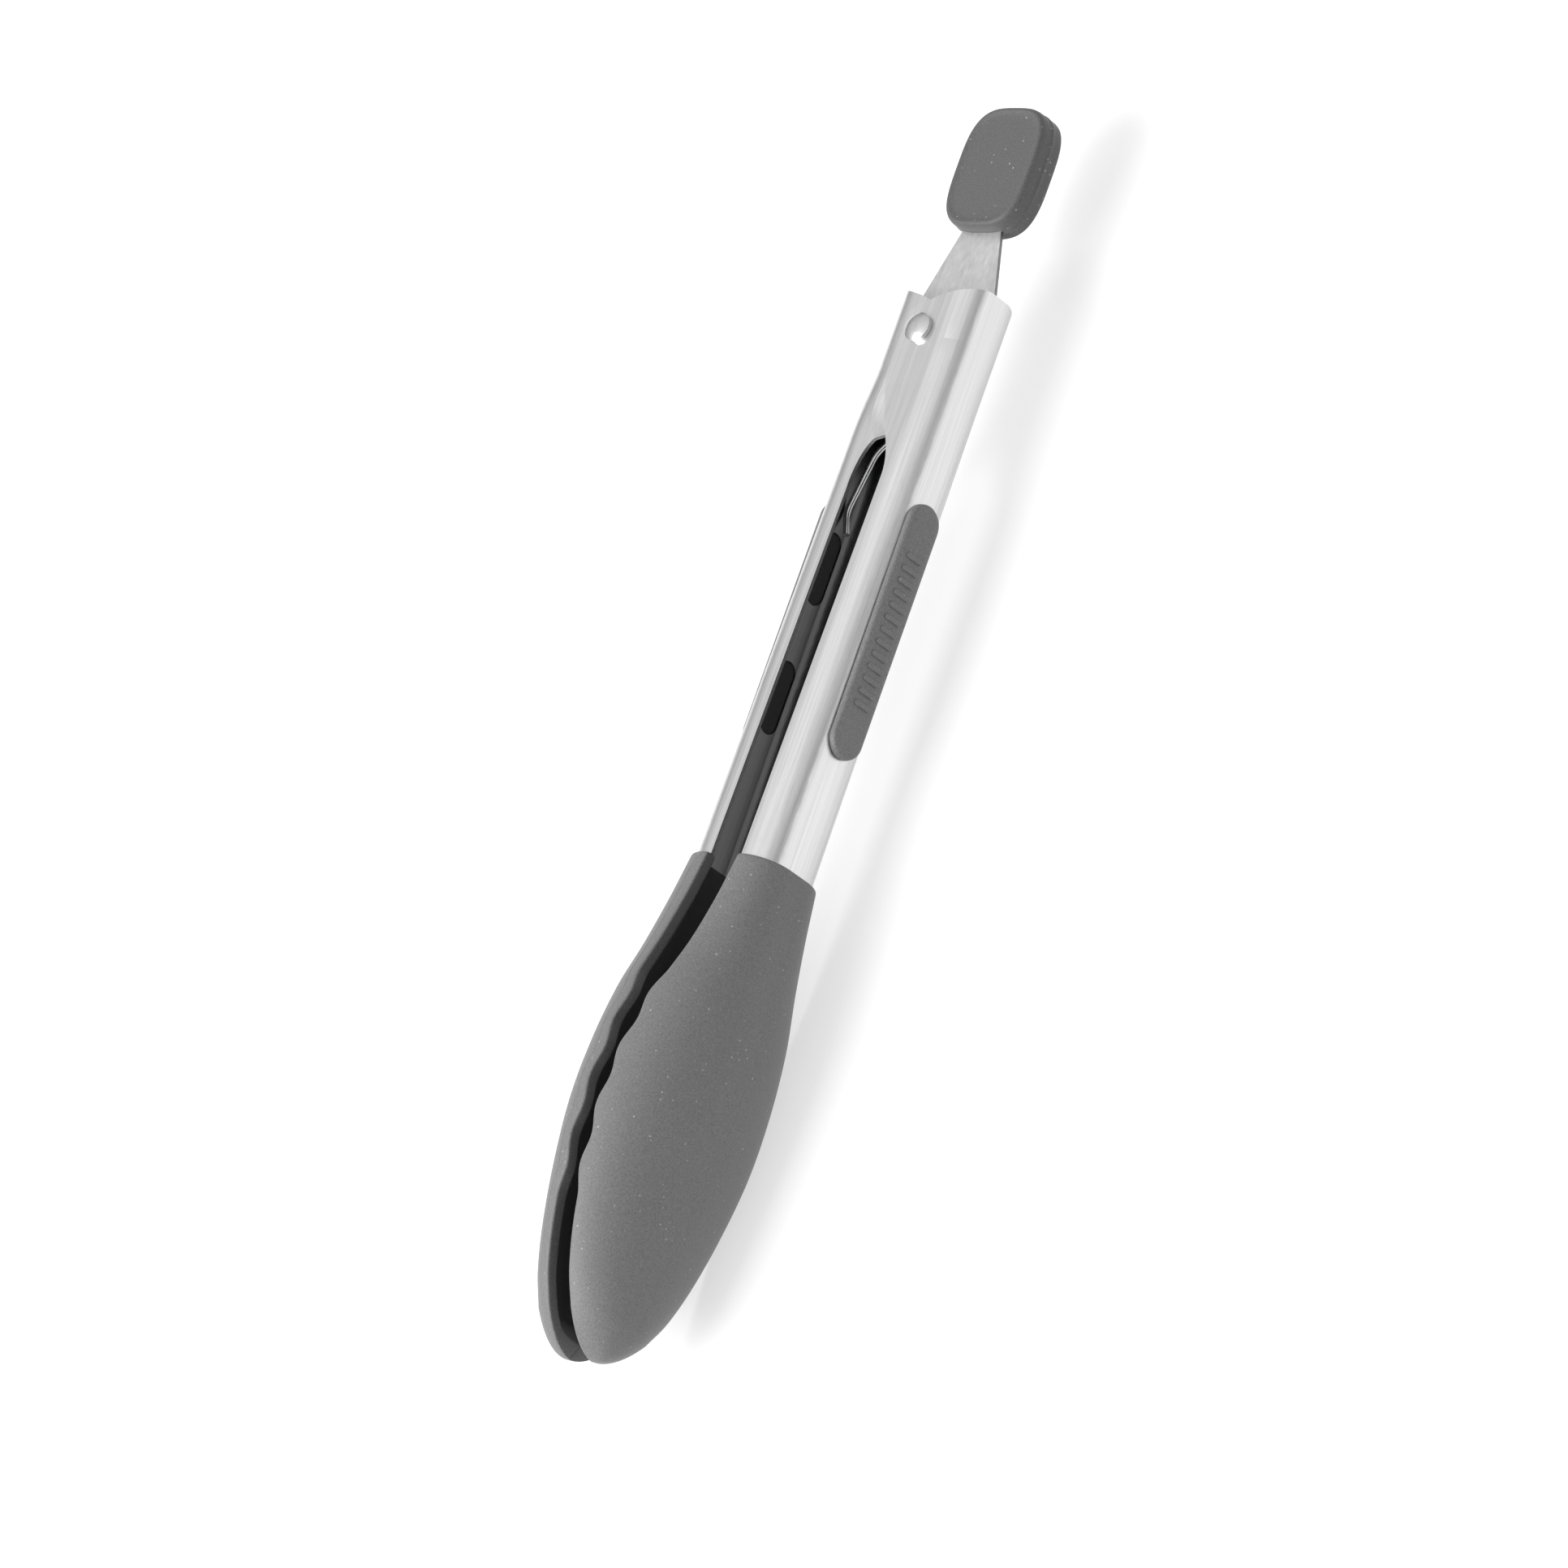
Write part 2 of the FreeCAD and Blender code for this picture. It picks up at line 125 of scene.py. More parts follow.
# Pull tab
TAB_START = 24.3
TAB_LENGTH = 26.2
TAB_WIDTH = 20.2
TAB_SQUARENESS = 3.3
TAB_CORNER_POINTS = 24

# Painted shade: walls that face a channel's middle, in the arms and the hollow heads, get a darker colour
# standing in for the shade there:
# the middle's distance from y = 0, a wall's distance from it where the painted shade starts and where it
# is complete, and the share of the tone that is left
CHANNEL_MIDDLE = 2.6
PAINTED_SHADE_STARTS = 1.6
PAINTED_SHADE_FULL = 3.6
SILICONE_PAINTED_SHADE = 0.14
STEEL_PAINTED_SHADE = 0.22

# Silicone's grain and dust
GRAIN_SCALE = 3300.0
GRAIN_DARK = 0.78
GRAIN_LIGHT = 1.22
DUST_SCALE = 800.0
DUST_STRENGTH = 0.42
DUST_GREY = 0.5

# Steel's brush marks: fine lines over broader bands
BRUSH_DARK = 0.86
BRUSH_LIGHT = 1.12
BRUSH_FINE_SHARE = 0.65
BRUSH_BAND_STRETCH = 0.16

# Room
FLOOR_GLOW = 0.6
FLOOR_REACH = 12.0
FLOOR_DROP = 0.0002
HORIZON_LIGHT = 0.26
ZENITH_LIGHT = 1.12
LAMP_PLACE = (-0.95, 0.45, 1.4)
LAMP_SIZE = 1.2
LAMP_POWER = 46

# Camera: its distance and axes, and how far it is tilted, shifted and rolled
CAMERA_DISTANCE = 2.3
CAMERA_RIGHT = Vector((0.007, -0.696, -0.718))
CAMERA_UP = Vector((0.944, -0.237, 0.230))
CAMERA_BACK = Vector((-0.3305, -0.678, 0.657))
CAMERA_TILT = math.atan(0.03901)
CAMERA_SHIFT = 0.000163
CAMERA_ROLL = math.radians(19.3)
CAMERA_LENS = 274.3


def smooth(share):
    """Eases from 0 to 1, and stays there on either side."""
    share = min(max(share, 0.0), 1.0)
    return share * share * (3 - 2 * share)


def between(low, high, share):
    return low + (high - low) * share


def spline_through(rows, x):
    """Catmull-Rom values of the rows' other columns at x, the first column."""
    rows = [np.array(row) for row in rows]
    i = max(k for k, row in enumerate(rows) if row[0] <= x + 1e-9)
    i = min(i, len(rows) - 2)
    a, b = rows[i], rows[i + 1]
    slope_a = (b - rows[i - 1]) / (b[0] - rows[i - 1][0]) if i > 0 else (b - a) / (b[0] - a[0])
    if i + 2 < len(rows):
        slope_b = (rows[i + 2] - a) / (rows[i + 2][0] - a[0])
    else:
        slope_b = (b - a) / (b[0] - a[0])
    run = b[0] - a[0]
    t = (x - a[0]) / run
    t2, t3 = t * t, t * t * t
    found = (
        (2 * t3 - 3 * t2 + 1) * a
        + (t3 - 2 * t2 + t) * run * slope_a
        + (3 * t2 - 2 * t3) * b
        + (t3 - t2) * run * slope_b
    )
    return found[1:]


# Mesh building

def add_object(name, verts, faces, side):
    """A mesh from points (x, s, z) in mm about the rivet; side is 1 for the back arm, -1 for the front."""
    mesh = bpy.data.meshes.new(name)
    placed = [
        (PIVOT.x + x * MM, PIVOT.y + side * s * MM, PIVOT.z + z * MM) for x, s, z in verts
    ]
    if side < 0:
        faces = [tuple(reversed(face)) for face in faces]
    mesh.from_pydata(placed, [], faces)
    mesh.validate()
    mesh.update()
    mesh.polygons.foreach_set("use_smooth", [True] * len(mesh.polygons))
    made = bpy.data.objects.new(name, mesh)
    bpy.context.scene.collection.objects.link(made)
    return made


def strips(first, ring_count, ring_size):
    """Faces between closed rings of points that follow each other."""
    faces = []
    for k in range(ring_count - 1):
        for i in range(ring_size):
            j = (i + 1) % ring_size
            a, b = first + k * ring_size, first + (k + 1) * ring_size
            faces.append((a + i, a + j, b + j, b + i))
    return faces


def resample(points, count):
    """The polyline's points at even steps along it."""
    points = np.array(points)
    steps = np.linalg.norm(np.diff(points, axis=0), axis=1)
    along = np.concatenate([[0], np.cumsum(steps)])
    wanted = np.linspace(0, along[-1], count)
    return np.stack([np.interp(wanted, along, points[:, k]) for k in range(2)], 1)


# Heads

def rim_height(away):
    """How far a head's rim stands from the middle plane, away mm past the collar."""
    narrowed = smooth((away - RIM_NARROWS) / (SCALLOPS_START + RIM_NARROW_PAST_START - RIM_NARROWS))
    to_tip = smooth((away - SCALLOPS_END) / (HEAD_LENGTH - SCALLOPS_END))
    valley = between(between(COLLAR_RIM, VALLEY_RIM, narrowed), TIP_RIM, to_tip)
    if away < SCALLOPS_START or away > SCALLOPS_END:
        return valley
    wave = math.cos(2 * math.pi * (away - FIRST_PEAK) / SCALLOP_PITCH)
    return valley - SCALLOP_HEIGHT * (1 + wave) / 2


def head_section(away):
    """Half width, depth and corner sizes in mm."""
    if away <= NOSE_START:
        half_width, depth, share_z, share_y = spline_through(HEAD_STATIONS, away)
    else:
        _, half_width, depth, share_z, share_y = HEAD_STATIONS[-1]
        left = max((HEAD_LENGTH - away) / (HEAD_LENGTH - NOSE_START), 0.0)
        half_width *= left ** NOSE_WIDTH_POWER
        depth = NOSE_LOW + (depth - NOSE_LOW) * left ** NOSE_DEPTH_POWER
    return half_width, depth, half_width * share_z, depth * share_y


def half_curve(half_width, depth, corner_z, corner_y, low, count):
    """From the rim at height low, up the wall and over to the middle, as (s, z) points."""
    corner_z = max(corner_z, SMALLEST)
    corner_y = max(corner_y, SMALLEST)
    points = [(low, half_width)] if low < depth - corner_y else []
    for k in range(CORNER_STEPS + 1):
        turn = math.pi / 2 * k / CORNER_STEPS
        points.append((
            depth - corner_y + corner_y * math.sin(turn),
            half_width - corner_z + corner_z * math.cos(turn),
        ))
    points.append((depth, 0.0))
    kept = [p for p in points if p[0] > low]
    before = [p for p in points if p[0] <= low]
    if before:
        a, b = before[-1], kept[0]
        share = (low - a[0]) / (b[0] - a[0])
        kept.insert(0, (low, between(a[1], b[1], share)))
    return resample(kept, count)



def head_ring(away, inset):
    """One closed section of the head: outer skin, rounded rim, and lining."""
    half_width, depth, corner_z, corner_y = head_section(away)
    rim = rim_height(away)
    edge = min(EDGE_OUT, EDGE_OUT_SHARE * half_width)
    outer = half_curve(
        half_width - inset,
        depth - inset,
        corner_z - inset,
        corner_y - inset,
        rim + edge,
        HALF_POINTS,
    )
    open_share = 1.0
    if away > HOLLOW_FADES:
        faded = min((away - HOLLOW_FADES) / (HOLLOW_END - HOLLOW_FADES), 1.0)
        open_share = math.sqrt(1 - faded * faded)
    inner_edge = between(SMALLEST, EDGE_IN, open_share)
    inner_half = max(half_width - WALL, HOLLOW_LEAST_SHARE * half_width) + inset
    inner_low = rim + inner_edge
    shallowest = inner_low + LINING_LEAST_DEPTH
    inner_depth = between(shallowest, max(depth - WALL + inset, shallowest), open_share)
    wall = half_width - inner_half
    inner = half_curve(
        inner_half,
        inner_depth,
        min(max(corner_z - wall, 0.1 * inner_half), 0.98 * inner_half),
        min(max(corner_y - WALL, 0.2), inner_depth - inner_low + 1.5),
        inner_low,
        HALF_POINTS,
    )
    arc_out = []
    start_z = outer[0][1]
    for k in range(1, ARC_POINTS + 1):
        turn = math.pi / 2 * k / ARC_POINTS
        arc_out.append((
            rim + inset * 0.5 + edge * (1 - math.sin(turn)),
            start_z - edge * (1 - math.cos(turn)),
        ))
    arc_in = []
    inner_z = inner[0][1]
    for k in range(ARC_POINTS):
        turn = math.pi / 2 * k / ARC_POINTS
        arc_in.append((
            rim + inset * 0.5 + inner_edge * (1 - math.cos(turn)),
            inner_z + inner_edge * (1 - math.sin(turn)),
        ))
    flat_low = arc_out[-1]
    flat_high = arc_in[0]
    flat = [
        (between(flat_low[0], flat_high[0], k / 4), between(flat_low[1], flat_high[1], k / 4))
        for k in (1, 2, 3)
    ]
    side = list(reversed(arc_out + flat + arc_in))
    left = [tuple(p) for p in reversed(inner)] + side + [tuple(p) for p in outer]
    right = [(s, -z) for s, z in reversed(left)][1:-1]
    x = COLLAR_X - away
    return [(x, s, z) for s, z in left + right]


def head_stops():
    """Where the head's sections lie, in mm past the collar, closer together towards the tip."""
    stops = list(np.linspace(0.5, NOSE_START, HEAD_STOPS))
    for k in range(1, NOSE_STOPS):
        reached = 1 - (1 - k / NOSE_STOPS) ** NOSE_CROWDING
        stops.append(between(NOSE_START, HEAD_LENGTH, reached))
    return stops


def tube(verts, faces, path, radius, around=8):
    """Adds a thin closed tube along the path."""
    first = len(verts)
    path = [Vector(p) for p in path]
    for k, point in enumerate(path):
        ahead = path[min(k + 1, len(path) - 1)] - path[max(k - 1, 0)]
        ahead.normalize()
        across = ahead.cross(Vector((0, 0, 1)))
        if across.length < 0.2:
            across = ahead.cross(Vector((0, 1, 0)))
        across.normalize()
        up = across.cross(ahead)
        thin = radius * (0.3 if k in (0, len(path) - 1) else 1.0)
        for i in range(around):
            turn = 2 * math.pi * i / around
            verts.append(tuple(point + (across * math.cos(turn) + up * math.sin(turn)) * thin))
    faces += strips(first, len(path), around)
    last = first + (len(path) - 1) * around
    faces.append(tuple(range(first, first + around))[::-1])
    faces.append(tuple(range(last, last + around)))


def build_head(name, side):
    """A hollow head with a scalloped rim, closed at its tip."""
    rings = [head_ring(away, inset) for away, inset in COLLAR_ROUNDING]
    rings += [head_ring(away, 0.0) for away in head_stops()]
    size = len(rings[0])
    verts = [p for ring in rings for p in ring]
    faces = strips(0, len(rings), size)
    # the collar's end: a strip between the lining and the skin
    half = size // 2
    for a in range(HALF_POINTS - 1):
        b = a + 1
        c, d = half - a, half - b
        faces.append((a, c, d, b))
        faces.append(((size - a) % size, size - b, size - d, size - c))
    # what is left of it, at the two rims
    rim_loop = range(HALF_POINTS - 1, half - HALF_POINTS + 2)
    faces.append(tuple(reversed(rim_loop)))
    faces.append(tuple((size - i) % size for i in rim_loop))
    # the tip
    tip = len(verts)
    end = np.array(rings[-1])
    verts.append((COLLAR_X - HEAD_LENGTH, end[:, 1].mean(), 0.0))
    last = (len(rings) - 1) * size
    faces += [(last + (i + 1) % size, tip, last + i) for i in range(size)]
    # mould parting lines, which only the back head shows
    for sign in (1, -1) if side > 0 else ():
        path = []
        for away in np.linspace(PARTING_START, PARTING_END, 120):
            low = rim_height(away) + PARTING_ABOVE_RIM
            s, z = half_curve(*head_section(away), low, 12)[0]
            path.append((COLLAR_X - away, s, sign * (z - PARTING_SUNK)))
        tube(verts, faces, path, PARTING_RADIUS)
    return add_object(name, verts, faces, side)


# Grip pads

def arm_section(x):
    """An arm's half width, depth and corner radius in mm."""
    share = max((x - PIVOT_ZONE_END) / (COLLAR_X - PIVOT_ZONE_END), 0.0)
    return (
        between(PIVOT_HALF_WIDTH, COLLAR_HALF_WIDTH, share),
        between(PIVOT_DEPTH, COLLAR_DEPTH, share),
        between(PIVOT_CORNER, COLLAR_CORNER, share),
    )


def on_back(x, z, height):
    """The point that stands a height above the arm's back at x, z."""
    half_width, depth, corner = arm_section(x)
    over = (abs(z) - (half_width - corner)) / corner
    if over <= 0:
        return x, depth + height, z
    turn = math.asin(min(over, 0.98))
    reach = corner + height
    return (
        x,
        depth - corner + reach * math.cos(turn),
        math.copysign(half_width - corner + reach * math.sin(turn), z),
    )


def stadium(centre, length, width, inset, count, across=False):
    """Points round an oblong drawn in from its edge, starting at the middle of one end."""
    radius = max(width / 2 - inset, 0.05)
    reach = (length - width) / 2
    side = count // 4
    points = []
    for end in (1, -1):
        for k in range(side):
            points.append((end * reach * (2 * k / side - 1), -end * radius))
        for k in range(side):
            turn = math.pi * (k / side - 0.5)
            points.append((
                end * (reach + radius * math.cos(turn)),
                end * radius * math.sin(turn),
            ))
    points = points[-(side // 2):] + points[:-(side // 2)]
    if across:
        points = [(b, a) for a, b in reversed(points)]
    return [(centre + a, b) for a, b in points]


def raised(verts, faces, centre, length, width, profile, count, across=False):
    """Adds a closed oblong on the arm's back. Profile rows are inset and height, bottom first."""
    first = len(verts)
    for inset, height in profile:
        for x, z in stadium(centre, length, width, inset, count, across):
            verts.append(on_back(x, z, height))
    faces += [tuple(reversed(f)) for f in strips(first, len(profile), count)]
    last = first + (len(profile) - 1) * count
    for low, flip in ((first, False), (last, True)):
        for k in range(count // 2 - 1):
            a, b = low + k, low + k + 1
            c, d = low + count - 1 - k, low + count - 2 - k
            face = (a, b, d, c)
            faces.append(tuple(reversed(face)) if flip else face)


PAD_PROFILE = (
    (0.9, -0.02),
    (0.25, -0.02),
    (0.02, 0.05),
    (0.0, 0.35),
    (0.03, 0.75),
    (0.12, 1.08),
    (0.32, 1.33),
    (0.6, 1.45),
    (1.0, 1.5),
    (1.7, 1.5),
    (2.6, 1.5),
    (3.5, 1.5),
    (3.98, 1.5),
)
RIB_PROFILE = (
    (0.2, 1.38),
    (0.0, 1.4),
    (0.0, 1.72),
    (0.06, 1.84),
    (0.18, 1.9),
    (0.32, 1.91),
)
PLUG_PROFILE = (
    (0.5, -STEEL + 0.3),
    (0.15, -STEEL + 0.3),
    (0.0, -STEEL + 0.4),
    (0.0, 0.1),
    (0.5, 0.12),
)


def build_pad(name, side):
    """A soft pad with its two plugs and a row of ribs."""
    verts = []
    faces = []
    raised(verts, faces, PAD_CENTRE_X, PAD_LENGTH, PAD_WIDTH, PAD_PROFILE, 260)
    for x in PLUG_CENTRES_X:
        raised(verts, faces, x, PLUG_LENGTH, PLUG_WIDTH, PLUG_PROFILE, 96)
    for k in range(RIB_COUNT):
        x = PAD_CENTRE_X + (k - (RIB_COUNT - 1) / 2) * RIB_PITCH
        raised(verts, faces, x, RIB_LENGTH, RIB_WIDTH, RIB_PROFILE, 40, across=True)
    return add_object(name, verts, faces, side)


# Pull tab

def rounded_outline(half_x, half_y, count):
    """A rectangle with full, softly rounded corners, as points."""
    points = []
    for k in range(count):
        turn = 2 * math.pi * (k + 0.5) / count
        x, y = math.cos(turn), math.sin(turn)
        points.append((
            half_x * math.copysign(abs(x) ** (2 / TAB_SQUARENESS), x),
            half_y * math.copysign(abs(y) ** (2 / TAB_SQUARENESS), y),
        ))
    return points


TAB_PROFILE = (
    (7.5, -3.4),
    (4.0, -3.42),
    (1.6, -3.45),
    (0.9, -3.4),
    (0.4, -3.18),
    (0.1, -2.75),
    (0.0, -2.2),
    (0.0, -1.2),
    (0.0, -0.2),
    (-0.09, -0.07),
    (-0.09, 0.07),
    (0.0, 0.2),
    (0.02, 1.2),
    (0.06, 2.2),
    (0.16, 2.75),
    (0.34, 3.14),
    (0.55, 3.36),
    (0.75, 3.44),
    (0.95, 3.45),
    (1.2, 3.38),
    (1.6, 3.2),
    (2.2, 3.12),
    (4.0, 3.1),
    (7.5, 3.1),
)


def build_tab(name):
    """A tab with a raised border round a dished upper face, and a parting line at mid height."""
    verts = []
    centre = TAB_START + TAB_LENGTH / 2
    size = 4 * TAB_CORNER_POINTS
    for inset, z in TAB_PROFILE:
        outline = rounded_outline(TAB_LENGTH / 2 - inset, TAB_WIDTH / 2 - inset, size)
        verts += [(centre + x, y, z) for x, y in outline]
    faces = strips(0, len(TAB_PROFILE), size)
    faces.append(tuple(range(size))[::-1])
    last = (len(TAB_PROFILE) - 1) * size
    faces.append(tuple(range(last, last + size)))
    return add_object(name, verts, faces, 1)


# Materials

class Nodes:
    """A short way to make and join shader nodes."""

    def __init__(self, owner):
        owner.use_nodes = True
        self.tree = owner.node_tree
        self.tree.nodes.clear()

    def add(self, kind, **values):
        node = self.tree.nodes.new(kind)
        for key, value in values.items():
            setattr(node, key, value)
        return node

    def join(self, source, target):
        self.tree.links.new(source, target)

    def put(self, node, **sockets):
        for key, value in sockets.items():
            socket = node.inputs[key.replace("_", " ")]
            if isinstance(value, bpy.types.NodeSocket):
                self.join(value, socket)
            else:
                socket.default_value = value

    def noise(self, source, stretch, scale, detail=2.0, roughness=0.5):
        mapping = self.add("ShaderNodeMapping")
        self.join(source, mapping.inputs["Vector"])
        mapping.inputs["Scale"].default_value = stretch
        noise = self.add("ShaderNodeTexNoise")
        self.put(noise, Vector=mapping.outputs["Vector"], Scale=scale, Detail=detail,
                 Roughness=roughness)
        return noise.outputs["Fac"]

    def span(self, value, low, high, to_low, to_high):
        ranged = self.add("ShaderNodeMapRange")
        self.join(value, ranged.inputs["Value"])
        for socket, number in zip(("From Min", "From Max", "To Min", "To Max"),
                                  (low, high, to_low, to_high)):
            ranged.inputs[socket].default_value = number
        return ranged.outputs["Result"]

    def tint(self, value, dark, light):
        ramp = self.add("ShaderNodeValToRGB")
        self.join(value, ramp.inputs["Fac"])
        ramp.color_ramp.elements[0].color = (*dark, 1)
        ramp.color_ramp.elements[1].color = (*light, 1)
        return ramp.outputs["Color"]

    def maths(self, operation, a, b):
        node = self.add("ShaderNodeMath", operation=operation)
        for socket, value in zip(node.inputs, (a, b)):
            if isinstance(value, bpy.types.NodeSocket):
                self.join(value, socket)
            else:
                socket.default_value = value
        return node.outputs[0]

    def bump(self, height, strength, distance):
        node = self.add("ShaderNodeBump")
        self.put(node, Height=height, Strength=strength, Distance=distance)
        return node.outputs["Normal"]

    def parts(self, vector):
        split = self.add("ShaderNodeSeparateXYZ")
        self.join(vector, split.inputs[0])
        return split.outputs

    def scaled(self, colour, factor):
        product = self.add("ShaderNodeVectorMath", operation="SCALE")
        self.join(colour, product.inputs[0])
        self.join(factor, product.inputs["Scale"])
        return product.outputs[0]

    def inside(self, shade):
        """Painted shade: 1 on outer faces and the shade share on the walls that look into an arm's or
        head's channel, darkening their colour where shade falls.
        """
        coordinates = self.add("ShaderNodeTexCoord")
        place = self.parts(coordinates.outputs["Object"])
        normal = self.parts(coordinates.outputs["Normal"])
        middle = self.maths("MULTIPLY", self.maths("SIGN", place["Y"], 0.0), CHANNEL_MIDDLE * MM)
        out_y = self.maths("SUBTRACT", place["Y"], middle)
        out_z = self.maths("SUBTRACT", place["Z"], PIVOT.z)
        along = self.maths(
            "ADD",
            self.maths("MULTIPLY", normal["Y"], out_y),
            self.maths("MULTIPLY", normal["Z"], out_z),
        )
        return self.span(along, -PAINTED_SHADE_FULL * MM, -PAINTED_SHADE_STARTS * MM, shade, 1.0)


def grey(value):
    return value, value, value


def silicone(name, tone):
    """Matt silicone with a fine grain, a little dust on it, and painted shade on the walls that face a
    channel's middle.
    """
    material = bpy.data.materials.new(name)
    n = Nodes(material)
    place = n.add("ShaderNodeTexCoord").outputs["Object"]
    grain = n.noise(place, (1, 1, 1), GRAIN_SCALE, 2.0, 0.6)
    grained = n.span(grain, 0.32, 0.68, 0, 1)
    colour = n.tint(grained, grey(tone * GRAIN_DARK), grey(tone * GRAIN_LIGHT))
    specks = n.add("ShaderNodeTexVoronoi")
    n.put(specks, Vector=place, Scale=DUST_SCALE)
    dot = n.span(specks.outputs["Distance"], 0.1, 0.19, 1, 0)
    picked = n.span(specks.outputs["Color"], 0.66, 0.84, 0, 1)
    dust = n.maths("MULTIPLY", n.maths("MULTIPLY", dot, picked), DUST_STRENGTH)
    blend = n.add("ShaderNodeMix", data_type="RGBA")
    n.join(dust, blend.inputs["Factor"])
    n.join(colour, blend.inputs[6])
    blend.inputs[7].default_value = (*grey(DUST_GREY), 1)
    shader = n.add("ShaderNodeBsdfPrincipled")
    n.put(
        shader,
        # the base colour carries painted shade on walls that face a channel's middle
        Base_Color=n.scaled(blend.outputs[2], n.inside(SILICONE_PAINTED_SHADE)),
        Roughness=n.span(grain, 0.3, 0.7, 0.52, 0.66),
        Normal=n.bump(grain, 0.2, 0.0001),
    )
    shader.inputs["Specular IOR Level"].default_value = 0.4
    shader.inputs["Sheen Weight"].default_value = 0.12
    shader.inputs["Sheen Roughness"].default_value = 0.4
    out = n.add("ShaderNodeOutputMaterial")
    n.join(shader.outputs["BSDF"], out.inputs["Surface"])
    return material


def steel(name, tone, rough, stretch, bump, shade=1.0, edge=1.0):
    """Brushed or drawn steel. Stretch is how the brush marks run, shade is the share of tone left by the
    painted shade on walls that face a channel's middle, and edge darkens a flat piece's narrow sides."""
    material = bpy.data.materials.new(name)
    n = Nodes(material)
    coordinates = n.add("ShaderNodeTexCoord")
    place = coordinates.outputs["Object"]
    lines = n.noise(place, stretch, 1.0, 3.0, 0.6)
    broad = n.noise(place, tuple(v * BRUSH_BAND_STRETCH for v in stretch), 1.0, 2.0)
    mixed = n.maths(
        "ADD",
        n.maths("MULTIPLY", lines, BRUSH_FINE_SHARE),
        n.maths("MULTIPLY", broad, 1 - BRUSH_FINE_SHARE),
    )
    brushed = n.span(mixed, 0.3, 0.7, 0, 1)
    colour = n.tint(brushed, grey(tone * BRUSH_DARK), grey(tone * BRUSH_LIGHT))
    # painted shade on the walls that face a channel's middle
    if shade < 1:
        colour = n.scaled(colour, n.inside(shade))
    if edge < 1:
        upright = n.maths("ABSOLUTE", n.parts(coordinates.outputs["Normal"])["Z"], 0.0)
        colour = n.scaled(colour, n.span(upright, 0.5, 0.9, edge, 1.0))
    shader = n.add("ShaderNodeBsdfPrincipled")
    n.put(
        shader,
        Base_Color=colour,
        Roughness=n.span(mixed, 0.3, 0.7, rough * 0.88, rough * 1.12),
        Normal=n.bump(lines, bump, 0.00005),
        Metallic=1.0,
    )
    out = n.add("ShaderNodeOutputMaterial")
    n.join(shader.outputs["BSDF"], out.inputs["Surface"])
    return material


def dress(target, material):
    """Gives an object the one material."""
    target.data.materials.clear()
    target.data.materials.append(material)


# The silicones and the arm steel carry painted shade on walls that face a channel's middle
head_silicone = silicone("head_silicone", 0.126)
grip_silicone = silicone("grip_silicone", 0.13)
tab_silicone = silicone("tab_silicone", 0.077)
arm_steel = steel("arm_steel", 0.66, 0.33, (26.0, 2600.0, 2600.0), 0.16, shade=STEEL_PAINTED_SHADE)
lock_steel = steel("lock_steel", 0.6, 0.42, (500.0, 1100.0, 1100.0), 0.06, edge=0.35)
rivet_steel = steel("rivet_steel", 0.62, 0.26, (500.0, 500.0, 500.0), 0.03)
wire_steel = steel("wire_steel", 0.85, 0.28, (300.0, 300.0, 300.0), 0.03)

for node, material in (
    ("arm_back", arm_steel),
    ("arm_front", arm_steel),
    ("lock_plate", lock_steel),
    ("rivet", rivet_steel),
    ("spring_coil", wire_steel),
    ("spring_leg_back", wire_steel),
    ("spring_leg_front", wire_steel),
):
    dress(NODES[node], material)

for which, side in (("back", 1), ("front", -1)):
    head = build_head("silicone_head_" + which, side)
    dress(head, head_silicone)
    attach(head, which + "_arm")
    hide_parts("head_" + which)
    pad = build_pad("ribbed_grip_" + which, side)
    dress(pad, grip_silicone)
    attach(pad, which + "_arm")
    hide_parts("grip_pad_" + which)

tab = build_tab("silicone_pull_tab")
dress(tab, tab_silicone)
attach(tab, "lock")
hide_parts("pull_tab")


# Floor, light and camera

def build_floor():
    """A floor with a white glow of its own, which keeps the shadows on it faint."""
    mesh = bpy.data.meshes.new("floor")
    reach = FLOOR_REACH
    mesh.from_pydata(
        [(-reach, -reach, 0), (reach, -reach, 0), (reach, reach, 0), (-reach, reach, 0)],
        [],
        [(0, 1, 2, 3)],
    )
    made = bpy.data.objects.new("floor", mesh)
    made.location = (0, 0, -FLOOR_DROP)
    bpy.context.scene.collection.objects.link(made)
    material = bpy.data.materials.new("floor")
    n = Nodes(material)
    shader = n.add("ShaderNodeBsdfPrincipled")
    n.put(shader, Base_Color=(0.36, 0.36, 0.36, 1), Roughness=0.9)
    shader.inputs["Emission Color"].default_value = (1, 1, 1, 1)
    shader.inputs["Emission Strength"].default_value = FLOOR_GLOW
    out = n.add("ShaderNodeOutputMaterial")
    n.join(shader.outputs["BSDF"], out.inputs["Surface"])
    mesh.materials.append(material)


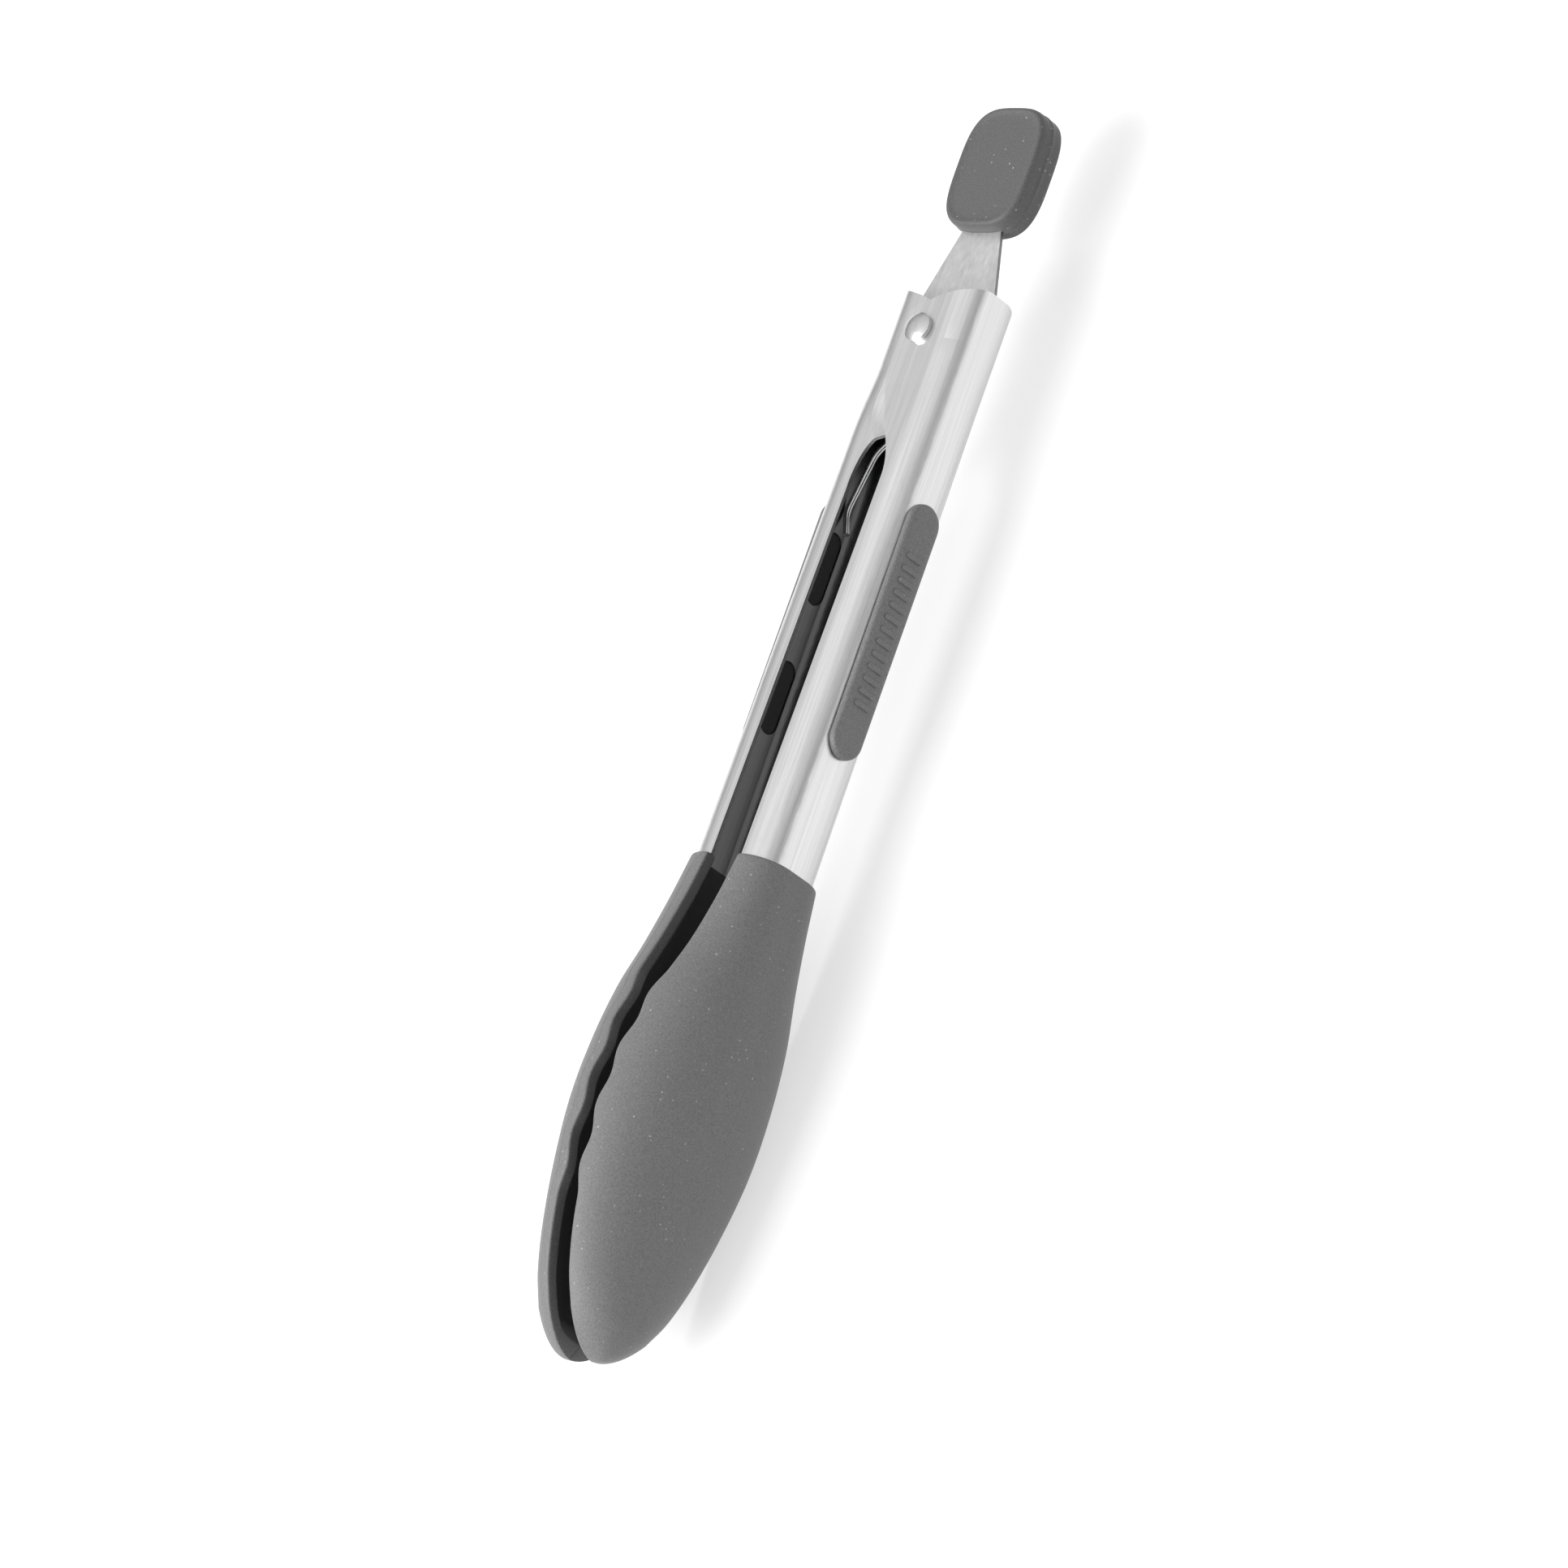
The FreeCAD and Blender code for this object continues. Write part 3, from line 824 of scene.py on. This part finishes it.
def build_lamp():
    """A large soft lamp, high up past the heads, aimed at the origin."""
    data = bpy.data.lights.new("above", "AREA")
    data.shape = "RECTANGLE"
    data.size = LAMP_SIZE
    data.size_y = LAMP_SIZE
    data.energy = LAMP_POWER
    made = bpy.data.objects.new("above", data)
    made.location = LAMP_PLACE
    direction = -Vector(LAMP_PLACE)
    made.rotation_mode = "QUATERNION"
    made.rotation_quaternion = direction.to_track_quat("-Z", "Y")
    bpy.context.scene.collection.objects.link(made)


def build_world():
    """A plain white room, brighter overhead than at the horizon."""
    world = bpy.data.worlds.new("studio")
    bpy.context.scene.world = world
    n = Nodes(world)
    height = n.parts(n.add("ShaderNodeTexCoord").outputs["Generated"])["Z"]
    background = n.add("ShaderNodeBackground")
    strength = n.span(height, 0.0, 1.0, HORIZON_LIGHT, ZENITH_LIGHT)
    n.put(background, Color=(1, 1, 1, 1), Strength=strength)
    out = n.add("ShaderNodeOutputWorld")
    n.join(background.outputs["Background"], out.inputs["Surface"])


def build_camera():
    """A long lens that looks down at the tongs, turned so that they stand up in the picture."""
    cos_tilt, sin_tilt = math.cos(CAMERA_TILT), math.sin(CAMERA_TILT)
    up_tilted = CAMERA_UP * cos_tilt - CAMERA_BACK * sin_tilt
    back_tilted = CAMERA_UP * sin_tilt + CAMERA_BACK * cos_tilt
    aside = CAMERA_RIGHT * CAMERA_SHIFT + up_tilted * math.tan(CAMERA_TILT)
    place = PIVOT - (aside - back_tilted) * CAMERA_DISTANCE
    x_axis = CAMERA_RIGHT * math.cos(CAMERA_ROLL) + up_tilted * math.sin(CAMERA_ROLL)
    z_axis = back_tilted.normalized()
    x_axis = (x_axis - z_axis * x_axis.dot(z_axis)).normalized()
    y_axis = z_axis.cross(x_axis)
    data = bpy.data.cameras.new("camera")
    data.lens = CAMERA_LENS
    data.sensor_width = 36.0
    data.clip_start = 0.05
    data.clip_end = 50.0
    made = bpy.data.objects.new("camera", data)
    made.matrix_world = Matrix((
        (x_axis.x, y_axis.x, z_axis.x, place.x),
        (x_axis.y, y_axis.y, z_axis.y, place.y),
        (x_axis.z, y_axis.z, z_axis.z, place.z),
        (0, 0, 0, 1),
    ))
    bpy.context.scene.collection.objects.link(made)
    bpy.context.scene.camera = made


build_floor()
build_world()
build_lamp()
build_camera()
bpy.context.scene.view_settings.view_transform = "Standard"
